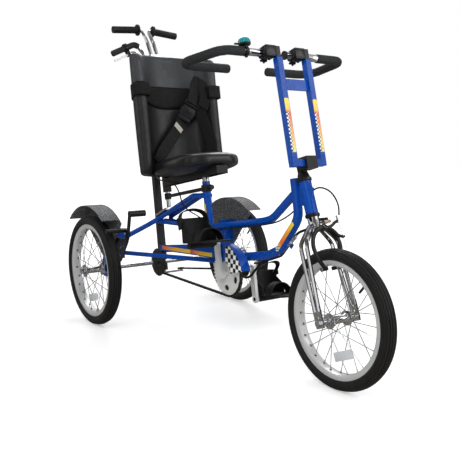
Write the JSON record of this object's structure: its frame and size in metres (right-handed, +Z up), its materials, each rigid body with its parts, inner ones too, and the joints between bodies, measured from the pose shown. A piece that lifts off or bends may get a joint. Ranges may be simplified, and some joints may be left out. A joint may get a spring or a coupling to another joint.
{
  "type": "adaptive tricycle",
  "caption": "Adaptive tricycle with a blue tube frame, loop handlebars, a padded seat with a wrap-round back, sandal pedals and a rear steering bar.",
  "frame": {"origin": "where the front tyre meets the ground", "axes": "+X forwards, +Y to the rider's left, +Z up"},
  "size_m": [1.349, 0.7392, 1.1129],
  "materials": {
    "paint": "gloss",
    "chrome": "polished",
    "alloy": "satin",
    "black_steel": "satin",
    "rubber": "matte",
    "plastic": "matte",
    "moulded": "textured",
    "vinyl": "satin",
    "foam": "matte",
    "teal": "gloss",
    "oiled": "oiled"
  },
  "bodies": {
    "base": {"frame": "paint", "crank_hanger": "black_steel", "left_axle_bearing": "plastic", "right_axle_bearing": "plastic", "left_fender": "moulded", "right_fender": "moulded", "chain_guard": "paint", "chain": "oiled", "headset": "black_steel", "seat_clamp": "black_steel", "back_strut": "chrome", "steering_post": "black_steel", "parking_brake_bracket": "black_steel", "steering_conduit": "plastic", "centring_spring": "chrome"},
    "steerer": {"fork": "chrome", "front_axle": "chrome", "stem": "black_steel", "column_frame": "paint"},
    "front_wheel": {"front_tyre": "rubber", "front_rim": "alloy", "front_hub_spokes": "chrome"},
    "left_wheel": {"left_tyre": "rubber", "left_rim": "alloy", "left_hub_spokes": "chrome"},
    "drive": {"drive_axle": "chrome", "drive_sprocket": "black_steel", "right_tyre": "rubber", "right_rim": "alloy", "right_hub_spokes": "chrome"},
    "crankset": {"right_crank": "alloy", "left_crank": "alloy", "chainring": "alloy"},
    "right_pedal": {"right_foot_plate": "plastic"},
    "left_pedal": {"left_foot_plate": "plastic"},
    "seat": {"seat_post": "chrome", "seat_frame": "black_steel", "seat_cushion": "vinyl", "back_cushion": "vinyl", "push_handle": "chrome", "left_push_grip": "rubber", "right_push_grip": "rubber"},
    "right_bar_stem": {"right_bar_clamp": "black_steel"},
    "left_bar_stem": {"left_bar_clamp": "black_steel"},
    "right_loop": {"right_loop_bar": "chrome", "right_foam_grip": "foam", "bell": "teal"},
    "left_loop": {"left_loop_bar": "chrome", "left_foam_grip": "foam"},
    "bell_striker": {"bell_lever": "plastic"},
    "right_brake_arm": {"right_caliper_arm": "black_steel"},
    "left_brake_arm": {"left_caliper_arm": "black_steel"},
    "tiller": {"steering_shaft": "chrome", "tiller_foam": "foam", "brake_lever_clamp": "plastic"},
    "brake_hand_lever": {"brake_lever": "alloy"},
    "parking_lever": {"parking_brake_lever": "black_steel"},
    "front_rod": {"front_link_rod": "alloy"},
    "rear_rod": {"rear_link_rod": "alloy"}
  },
  "joints": [
    {"name": "steer", "type": "hinge", "parent": "base", "child": "steerer", "pos_m": [-0.12075, 0, 0.479], "axis": [-0.3778, 0, 0.9259], "range_deg": [-30, 30], "stiffness_Nm_per_rad": 2},
    {"name": "front_wheel_spin", "type": "hinge", "parent": "steerer", "child": "front_wheel", "pos_m": [0, 0, 0.199], "axis": [0, 1, 0], "continuous": true},
    {"name": "left_wheel_spin", "type": "hinge", "parent": "drive", "child": "left_wheel", "pos_m": [-0.923, 0.321, 0.199], "axis": [0, 1, 0], "continuous": true},
    {"name": "crank_spin", "type": "hinge", "parent": "base", "child": "crankset", "pos_m": [-0.475, 0, 0.243], "axis": [0, 1, 0], "continuous": true},
    {"name": "drive_spin", "type": "hinge", "parent": "base", "child": "drive", "pos_m": [-0.923, 0, 0.199], "axis": [0, 1, 0], "continuous": true},
    {"name": "right_pedal_turn", "type": "hinge", "parent": "crankset", "child": "right_pedal", "pos_m": [-0.49621, -0.1335, 0.34277], "axis": [0, 1, 0], "continuous": true},
    {"name": "left_pedal_turn", "type": "hinge", "parent": "crankset", "child": "left_pedal", "pos_m": [-0.45379, 0.1255, 0.14323], "axis": [0, 1, 0], "continuous": true},
    {"name": "seat_height", "type": "slide", "parent": "base", "child": "seat", "axis": [-0.1994, 0, 0.9799], "range_m": [0, 0.06]},
    {"name": "right_bar_height", "type": "slide", "parent": "steerer", "child": "right_bar_stem", "axis": [-0.274, 0, 0.9617], "range_m": [0, 0.06]},
    {"name": "left_bar_height", "type": "slide", "parent": "steerer", "child": "left_bar_stem", "axis": [-0.274, 0, 0.9617], "range_m": [0, 0.06]},
    {"name": "right_loop_turn", "type": "hinge", "parent": "right_bar_stem", "child": "right_loop", "pos_m": [-0.25468, -0.08, 0.92961], "axis": [0, 1, 0], "range_deg": [-20, 20]},
    {"name": "left_loop_turn", "type": "hinge", "parent": "left_bar_stem", "child": "left_loop", "pos_m": [-0.25468, 0.028, 0.92961], "axis": [0, 1, 0], "range_deg": [-20, 20]},
    {"name": "bell_lever_pull", "type": "hinge", "parent": "right_loop", "child": "bell_striker", "pos_m": [-0.25468, -0.15, 0.92961], "axis": [-0.274, 0, 0.9617], "range_deg": [0, 25], "stiffness_Nm_per_rad": 0.05},
    {"name": "brake_lever_pull", "type": "hinge", "parent": "tiller", "child": "brake_hand_lever", "pos_m": [-1.12771, -0.07258, 0.99497], "axis": [0.9836, 0, 0.1805], "range_deg": [0, 8], "stiffness_Nm_per_rad": 0.5},
    {"name": "left_caliper", "type": "hinge", "parent": "steerer", "child": "left_brake_arm", "pos_m": [-0.08169, 0, 0.44417], "axis": [-0.9259, 0, -0.3778], "range_deg": [0, 1.5]},
    {"name": "right_caliper", "type": "hinge", "parent": "steerer", "child": "right_brake_arm", "pos_m": [-0.08169, 0, 0.44417], "axis": [0.9259, 0, 0.3778], "range_deg": [0, 1.5]},
    {"name": "tiller_turn", "type": "hinge", "parent": "base", "child": "tiller", "pos_m": [-0.973, 0, 0.152], "axis": [-0.1805, 0, 0.9836], "range_deg": [-17, 17]},
    {"name": "front_rod_slide", "type": "slide", "parent": "base", "child": "front_rod", "axis": [0.9259, 0, 0.3778], "range_m": [-0.0237, 0.0237]},
    {"name": "rear_rod_slide", "type": "slide", "parent": "base", "child": "rear_rod", "axis": [0.9836, 0, 0.1805], "range_m": [-0.0237, 0.0237]},
    {"name": "parking_brake", "type": "hinge", "parent": "base", "child": "parking_lever", "pos_m": [-0.757, -0.2717, 0.346], "axis": [0, -1, 0], "range_deg": [0, 28]}
  ],
  "couplings": [
    {"joint": "drive_spin", "follows": "crank_spin", "ratio": 1.9},
    {"joint": "right_pedal_turn", "follows": "crank_spin", "ratio": -1},
    {"joint": "left_pedal_turn", "follows": "crank_spin", "ratio": -1},
    {"joint": "tiller_turn", "follows": "steer", "ratio": 0.5625},
    {"joint": "front_rod_slide", "follows": "steer", "m_per_rad": -0.045},
    {"joint": "rear_rod_slide", "follows": "steer", "m_per_rad": -0.045},
    {"joint": "left_caliper", "follows": "brake_lever_pull", "ratio": 0.18},
    {"joint": "right_caliper", "follows": "brake_lever_pull", "ratio": 0.18}
  ]
}
